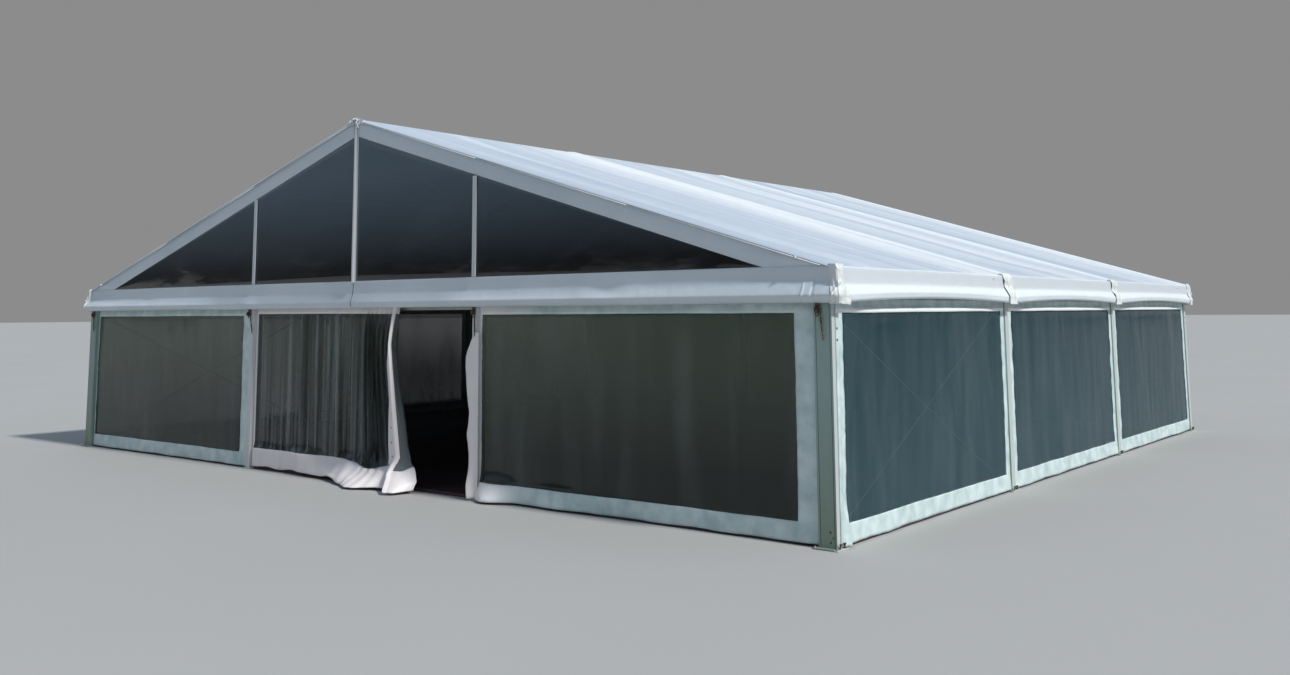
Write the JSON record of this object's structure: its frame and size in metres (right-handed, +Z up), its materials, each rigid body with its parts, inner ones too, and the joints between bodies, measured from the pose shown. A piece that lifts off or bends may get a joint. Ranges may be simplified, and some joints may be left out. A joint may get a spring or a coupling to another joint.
{
  "type": "marquee tent",
  "caption": "Clear-span marquee tent with aluminium portal frames, a white gabled membrane roof, clear window walls, a clear gable and a curtained doorway.",
  "frame": {"origin": "middle of the footprint, on the ground", "axes": "+Z up; the front gable with the doorway faces -Y; +X across the span, to the right as seen from in front"},
  "size_m": [15.144, 13.74, 5.014],
  "materials": {
    "aluminium": "anodised, satin",
    "steel": "galvanised",
    "roof_membrane": "white coated polyester, semi-gloss",
    "wall_membrane": "white coated polyester, semi-gloss",
    "clear_membrane": "clear flexible film, glossy, smoky",
    "floor": "dark red-brown matt paint"
  },
  "bodies": {
    "root": {"leg_left_1": "aluminium", "leg_left_2": "aluminium", "leg_left_3": "aluminium", "leg_left_4": "aluminium", "leg_right_1": "aluminium", "leg_right_2": "aluminium", "leg_right_3": "aluminium", "leg_right_4": "aluminium", "rafter_left_1": "aluminium", "rafter_left_2": "aluminium", "rafter_left_3": "aluminium", "rafter_left_4": "aluminium", "rafter_right_1": "aluminium", "rafter_right_2": "aluminium", "rafter_right_3": "aluminium", "rafter_right_4": "aluminium", "ridge_beam": "aluminium", "eave_purlin_left_1": "aluminium", "eave_purlin_left_2": "aluminium", "eave_purlin_left_3": "aluminium", "eave_purlin_right_1": "aluminium", "eave_purlin_right_2": "aluminium", "eave_purlin_right_3": "aluminium", "gable_beam_front": "aluminium", "gable_beam_back": "aluminium", "upright_front_left": "aluminium", "upright_front_right": "aluminium", "upright_back_left": "aluminium", "upright_back_right": "aluminium", "king_post": "aluminium", "brace_cables_left": "steel", "brace_cables_right": "steel", "roof_cover_1": "roof_membrane", "roof_cover_2": "roof_membrane", "roof_cover_3": "roof_membrane", "wall_border_left_1": "wall_membrane", "wall_border_left_2": "wall_membrane", "wall_border_left_3": "wall_membrane", "wall_border_right_1": "wall_membrane", "wall_border_right_2": "wall_membrane", "wall_border_right_3": "wall_membrane", "wall_window_left_1": "clear_membrane", "wall_window_left_2": "clear_membrane", "wall_window_left_3": "clear_membrane", "wall_window_right_1": "clear_membrane", "wall_window_right_2": "clear_membrane", "wall_window_right_3": "clear_membrane", "front_wall_border_left": "wall_membrane", "front_wall_border_right": "wall_membrane", "front_wall_window_left": "clear_membrane", "front_wall_window_right": "clear_membrane", "door_curtain": "clear_membrane", "door_flap": "wall_membrane", "gable_border_left": "wall_membrane", "gable_border_right": "wall_membrane", "gable_window_left": "clear_membrane", "gable_window_right": "clear_membrane", "back_wall": "wall_membrane", "back_gable": "wall_membrane", "floor": "floor"}
  },
  "joints": []
}
